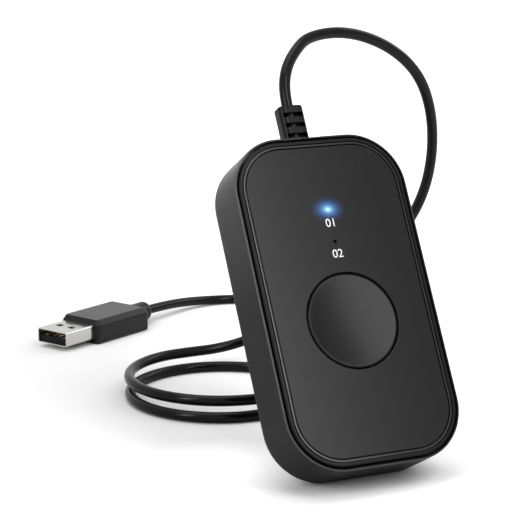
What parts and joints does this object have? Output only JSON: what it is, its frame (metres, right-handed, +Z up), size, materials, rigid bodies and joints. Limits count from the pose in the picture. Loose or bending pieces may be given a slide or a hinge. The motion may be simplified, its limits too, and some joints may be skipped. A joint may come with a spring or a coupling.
{
  "type": "button mouse jiggler",
  "caption": "Flat rounded desk box with a large round push button, light windows, and a cord with a flat plug lying in loose loops behind it.",
  "frame": {"origin": "On the surface that the part stands on, under the middle of the leaning case, measured without the cord and its plug.", "axes": "+X to the right as the front face is seen, +Y away behind the case, +Z up. The case leans back about X, and its front face looks along -Y and up."},
  "size_m": [0.092, 0.1923, 0.1048],
  "materials": {
    "case_plastic": "fine matt moulded black",
    "panel_plastic": "soft matt charcoal",
    "button_plastic": "satin charcoal",
    "clear_plastic": "clear polished",
    "lamp_plastic": "clear polished",
    "switch_plastic": "plain moulded",
    "sheet_steel": "bright sheet",
    "board_laminate": "satin green mask",
    "chip_plastic": "matt moulded",
    "screw_steel": "darkened steel",
    "connector_plastic": "plain moulded",
    "wire_covering": "smooth covering",
    "pad_rubber": "matt rubber",
    "cord_rubber": "satin moulded covering",
    "plug_plastic": "satin moulded",
    "plug_metal": "bright nickel plate",
    "tongue_plastic": "plain moulded",
    "contact_gold": "gold plate"
  },
  "bodies": {
    "housing": {"rear_shell": "case_plastic", "front_cover": "case_plastic", "front_panel": "panel_plastic", "led_lens_upper": "clear_plastic", "led_lens_lower": "clear_plastic", "led_upper": "lamp_plastic", "led_lower": "lamp_plastic", "switch_body": "switch_plastic", "switch_plate": "sheet_steel", "circuit_board": "board_laminate", "controller_chip": "chip_plastic", "quartz_crystal": "sheet_steel", "board_parts": "chip_plastic", "board_screws": "screw_steel", "cable_header": "connector_plastic", "cable_socket": "connector_plastic", "lead_wires": "wire_covering", "case_screws": "screw_steel", "grip_pad": "pad_rubber", "strain_relief": "cord_rubber", "cord_rise": "cord_rubber", "cord_loops": "cord_rubber", "cord_lead": "cord_rubber", "plug_body": "plug_plastic", "plug_shell": "plug_metal", "plug_tongue": "tongue_plastic", "plug_contacts": "contact_gold"},
    "button": {"button_cap": "button_plastic"},
    "plunger": {"switch_plunger": "switch_plastic"}
  },
  "joints": [
    {"name": "button_press", "type": "slide", "parent": "housing", "child": "button", "axis": [0, 0.8729, -0.4879], "range_m": [0, 0.0005], "stiffness_N_per_m": 1500, "springref_m": -0.0004},
    {"name": "switch_plunger_travel", "type": "slide", "parent": "housing", "child": "plunger", "axis": [0, 0.8729, -0.4879], "range_m": [0, 0.0005]}
  ],
  "couplings": [
    {"joint": "switch_plunger_travel", "follows": "button_press", "ratio": 1}
  ]
}
